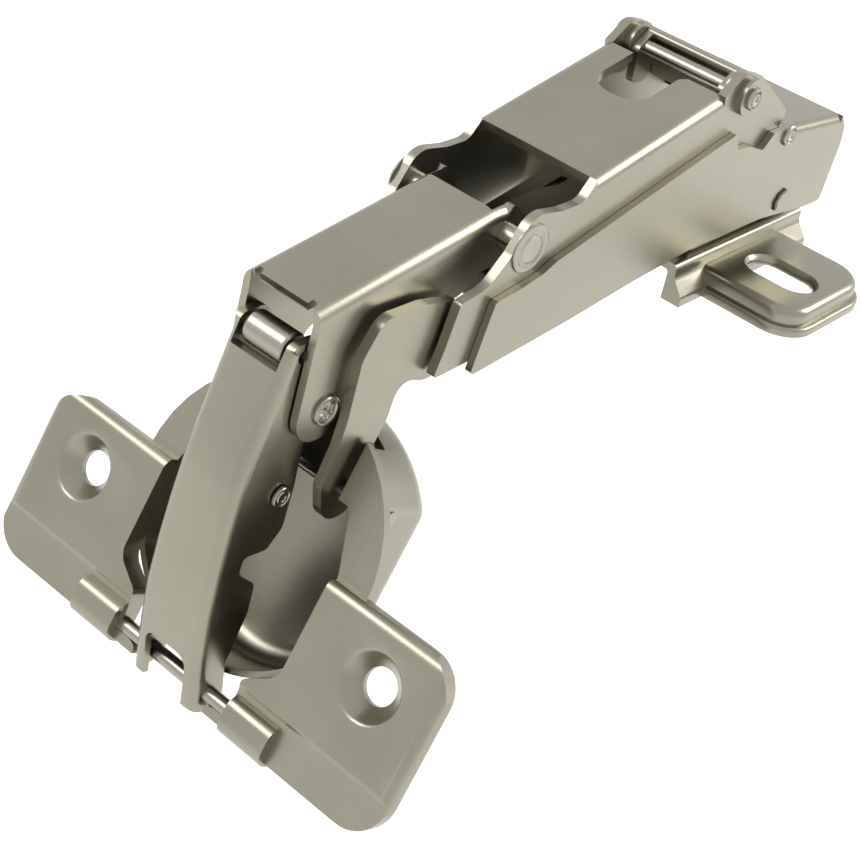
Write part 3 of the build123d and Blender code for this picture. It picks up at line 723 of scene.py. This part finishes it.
def build_link():
    """The tapered outline with its web bends rounded, then the hollow, window, foot and bores."""
    elbow_x, elbow_z = side_point("elbow")
    toe_x, toe_z = side_point("toe")
    roller_x, roller_z = side_point("roller_spin")
    foot = toe_z - link_foot
    web_line = [
        (elbow_x - 5.9, elbow_z + 6.8, 0),
        (elbow_x - 11.1, elbow_z - 8.0, 60.0),
        (toe_x - 2.46, toe_z + 11.5, 60.0),
    ]
    edge_line = [
        (toe_x + 2.3, foot, 1.9),
        (toe_x + 2.1, toe_z + 3.4, 1.5),
        (toe_x + 4.8, toe_z + 9.4, 3.0),
        (toe_x + 5.4, toe_z + 13.4, 1.2),
        (toe_x + 2.6, toe_z + 16.0, 1.2),
        (toe_x + 3.1, toe_z + 18.1, 0.8),
        (toe_x + 6.6, toe_z + 17.7, 1.0),
        (elbow_x - 2.7, elbow_z - 15.6, 2.0),
        (elbow_x - 1.7, elbow_z - 10.4, 3.0),
        (elbow_x - 1.1, elbow_z - 3.6, 1.6),
        (elbow_x + 3.1, elbow_z - 2.8, 2.6),
        (elbow_x + 3.2, elbow_z + 2.4, 2.4),
        (roller_x + 2.0, roller_z + 1.7, 1.6),
        (roller_x - 1.6, roller_z + 1.7, 1.5),
    ]

    def taper(shrink):
        top, low = link_top - shrink, link_low - shrink
        view = [(top, far_out, 0), (top, -2.0, 150.0), (low, foot, 0), (low, -far_out, 0)]
        return view + [(-a, b, radius) for a, b, radius in reversed(view)]

    link = crosswise(web_line + [(toe_x - 2.2, foot, 0)] + edge_line, -wide, wide)
    combine(link, lengthwise(taper(0), -2 * far_out, 0), "INTERSECT")

    def web_edge(edge, one, other):
        across = max(abs(one.y), abs(other.y)) > 0.9 and min(one.x, other.x) < -0.75
        return across and abs(one.dot(other)) < 0.4

    round_edges(link, link_bend, web_edge)
    lean = (web_line[0][0] - web_line[1][0]) / (web_line[0][1] - web_line[1][1])
    inner_line = [(a + link_sheet, b, radius) for a, b, radius in web_line]
    inner_top = web_line[0][0] - lean * (web_line[0][1] - link_web_top) + link_sheet
    inner_line[0] = (inner_top, link_web_top, 0)
    front, rear = toe_x - 10, elbow_x + 38
    room = [(front, link_web_top, 0)] + inner_line + [(toe_x - link_sheet, -far_out, 0)]
    room += [(rear, -far_out, 0), (rear, far_out, 0), (front, far_out, 0)]
    hollow = crosswise(room, -wide, wide)
    combine(hollow, lengthwise(taper(link_sheet), -2 * far_out, 0), "INTERSECT")
    combine(link, hollow, "DIFFERENCE")
    window = [(-window_half, -far_out, 0), (-window_half, toe_z + 5, window_round)]
    window += [(window_half, toe_z + 5, window_round), (window_half, -far_out, 0)]
    combine(link, lengthwise(window, toe_x - 7, toe_x + 1), "DIFFERENCE")
    keep = [(toe_x - 20, 40, 0), (toe_x - 4.5, toe_z + 3, 0), (toe_x - 2.6, foot, link_foot)]
    keep += [(toe_x + 30, foot, 0), (toe_x + 30, 40, 0)]
    combine(link, crosswise(keep, -wide, wide), "INTERSECT")
    pin_places = (("elbow", elbow_pin_r), ("toe", axle_r), ("roller_spin", small_pin_r))
    drilled(link, pin_places)
    return place_piece(link, "link_channel", Matrix(), "link", sheet_nickel, 0.2, "outer_link")


build_link()


def folded_sheet(corners, half, sheet, bend, start, end):
    """A sheet folded over two walls of one side view, closed by a web from start to end."""
    run = (Vector(end) - Vector(start)).normalized()
    rise = Vector((-run.y, run.x))
    length = (Vector(end) - Vector(start)).length
    piece = crosswise(corners, -half, half)

    def web_edge(edge, one, other):
        facing = max(side.x * rise.x + side.z * rise.y for side in (one, other))
        return facing > 0.98 and max(abs(one.y), abs(other.y)) > 0.9

    round_edges(piece, bend, web_edge)
    beyond = length + far_out
    marks = [(-far_out, -far_out), (-far_out, far_out), (0, far_out), (0, -sheet)]
    marks += [(length, -sheet), (length, far_out), (beyond, far_out), (beyond, -far_out)]
    room = [(*(Vector(start) + run * along + rise * over), 0) for along, over in marks]
    return combine(piece, crosswise(room, sheet - half, half - sheet), "DIFFERENCE")


# Middle channel: turns on the knee rivet and carries the outer link on its elbow
middle_sheet, middle_bend = 1.0, 1.8
relief_depth, relief_half = 0.8, 0.45
liner_sheet, liner_bend, liner_length, liner_wall, sheet_gap = 0.6, 0.9, 12.0, 2.2, 0.03
tongue_sheet, tongue_low = 0.8, 8.0


def build_middle():
    """The folded channel with a relief notch beside each front bend, and its two bores."""
    elbow_x, elbow_z = side_point("elbow")
    knee_x, knee_z = side_point("knee")
    front = (elbow_x - 3.0, elbow_z + 13.3)
    rear = (knee_x - 2.2, knee_z + 3.4)
    side = [
        (*front, 0),
        (*rear, 0),
        (knee_x + 1.0, knee_z + 3.6, 2.2),
        (knee_x + 3.6, knee_z + 1.0, 2.4),
        (knee_x + 1.8, knee_z - 3.8, 2.4),
        (knee_x - 4.0, knee_z - 4.0, 2.0),
        (knee_x - 5.8, knee_z - 6.2, 3.0),
        (elbow_x + 8.5, elbow_z + 7.0, 3.0),
        (elbow_x + 3.9, elbow_z + 3.6, 3.0),
        (elbow_x + 3.4, elbow_z - 3.7, 3.0),
        (elbow_x - 4.6, elbow_z - 3.7, 3.4),
        (front[0] - 0.1, front[1] - 2.6, 1.0),
    ]
    middle = folded_sheet(side, middle_half, middle_sheet, middle_bend, front, rear)
    start, end = front[0] - 2, front[0] + relief_depth
    relief = [(start, front[1] - 1.5, 0), (end, front[1] - 1.5, 0)]
    relief += [(end, front[1] + 2, 0), (start, front[1] + 2, 0)]
    for sign in (-1, 1):
        bend_y = sign * (middle_half - middle_bend)
        cut = crosswise(relief, bend_y - relief_half, bend_y + relief_half)
        combine(middle, cut, "DIFFERENCE")
    drilled(middle, (("knee", knee_pin_r), ("elbow", elbow_pin_r)))
    place = (Matrix(), "middle", sheet_nickel, 0.2)
    place_piece(middle, "middle_fold", *place, "middle_channel")
    build_liner(front, rear)


def build_liner(front, rear):
    """The thin liner under the web's rear, and a guessed tongue at its front coloured near-black as
    painted shade.
    """
    slope = (rear[1] - front[1]) / (rear[0] - front[0])
    liner_rear = rear[0] + 0.8
    ends = (liner_rear - liner_length, liner_rear)
    top = [(x, front[1] + slope * (x - front[0]) - middle_sheet - sheet_gap) for x in ends]
    low_corners = [(x, z - liner_wall, 0.6) for x, z in reversed(top)]
    liner_half = middle_half - middle_sheet - sheet_gap
    side = [(*top[0], 0), (*top[1], 0)] + low_corners
    liner = folded_sheet(side, liner_half, liner_sheet, liner_bend, *top)
    place_piece(liner, "liner_fold", Matrix(), "middle", pin_nickel, 0.15, "channel_liner")
    tongue_half = middle_half - middle_sheet - 0.1
    tongue_x, tongue_top = top[0][0], top[0][1] - 0.8
    tongue_foot = top[0][1] - tongue_low
    side = [(tongue_x, tongue_top, 0), (tongue_x, tongue_foot, 0.5)]
    side += [(tongue_x + tongue_sheet, tongue_foot, 0), (tongue_x + tongue_sheet, tongue_top, 0)]
    tongue = crosswise(side, -tongue_half, tongue_half)
    # The tongue's near-black colour is painted shade in the channel.
    place = (Matrix(), "middle", painted_shade_steel, 0.1)
    place_piece(tongue, "liner_tongue", *place, slot="channel_liner")


build_middle()


# Marks on the arm: a lanced crescent on each wall, drawn as a crescent of painted shade
lance_sunk, lance_proud = 0.1, 0.3


def build_lances():
    """A thin crescent of painted shade that lies in each wall of the arm."""
    crescent = [
        (4.8, 12.9, 0.2),
        (3.2, 12.3, 0.6),
        (2.5, 11.2, 0.6),
        (3.0, 9.8, 0.2),
        (3.5, 10.1, 0.1),
        (3.3, 11.2, 0.4),
        (3.9, 12.0, 0.4),
        (4.9, 12.4, 0.1),
    ]
    for word, sign in (("near", -1), ("far", 1)):
        low, high = sorted((sign * (arm_half - lance_sunk), sign * (arm_half + lance_proud)))
        lance = crosswise(crescent, low, high)
        # The crescent's near-black colour is painted shade for the lance's slit.
        place = (Matrix(), "arm", painted_shade_steel, 0.05)
        place_piece(lance, "arm_lance_" + word, *place, slot="arm_channel")


build_lances()


# Floor: pale, and white where it is seen, with the object's shadow kept
floor_drop, floor_reach = 0.09, 3.0
floor_grey, floor_glow = (0.8, 0.8, 0.8, 1), 0.7
low, high = -floor_reach, floor_reach
floor_mesh = bpy.data.meshes.new("floor")
corners = [(low, low, 0), (high, low, 0), (high, high, 0), (low, high, 0)]
floor_mesh.from_pydata(corners, [], [(0, 1, 2, 3)])
floor = bpy.data.objects.new("floor", floor_mesh)
floor.location.z = cad_box[0][2] - floor_drop
bpy.context.scene.collection.objects.link(floor)
floor_material = bpy.data.materials.new("floor")
floor_material.use_nodes = True
tree = floor_material.node_tree
tree.nodes.clear()
out = add_node(tree, "ShaderNodeOutputMaterial")
pale = add_node(tree, "ShaderNodeBsdfDiffuse")
pale.inputs["Color"].default_value = floor_grey
white = add_node(tree, "ShaderNodeEmission")
white.inputs["Strength"].default_value = floor_glow
both = add_node(tree, "ShaderNodeAddShader")
tree.links.new(pale.outputs["BSDF"], both.inputs[0])
tree.links.new(white.outputs["Emission"], both.inputs[1])
pick = add_node(tree, "ShaderNodeMixShader")
tree.links.new(shown_ray(tree), pick.inputs["Fac"])
tree.links.new(pale.outputs["BSDF"], pick.inputs[1])
tree.links.new(both.outputs["Shader"], pick.inputs[2])
tree.links.new(pick.outputs["Shader"], out.inputs["Surface"])
floor_mesh.materials.append(floor_material)
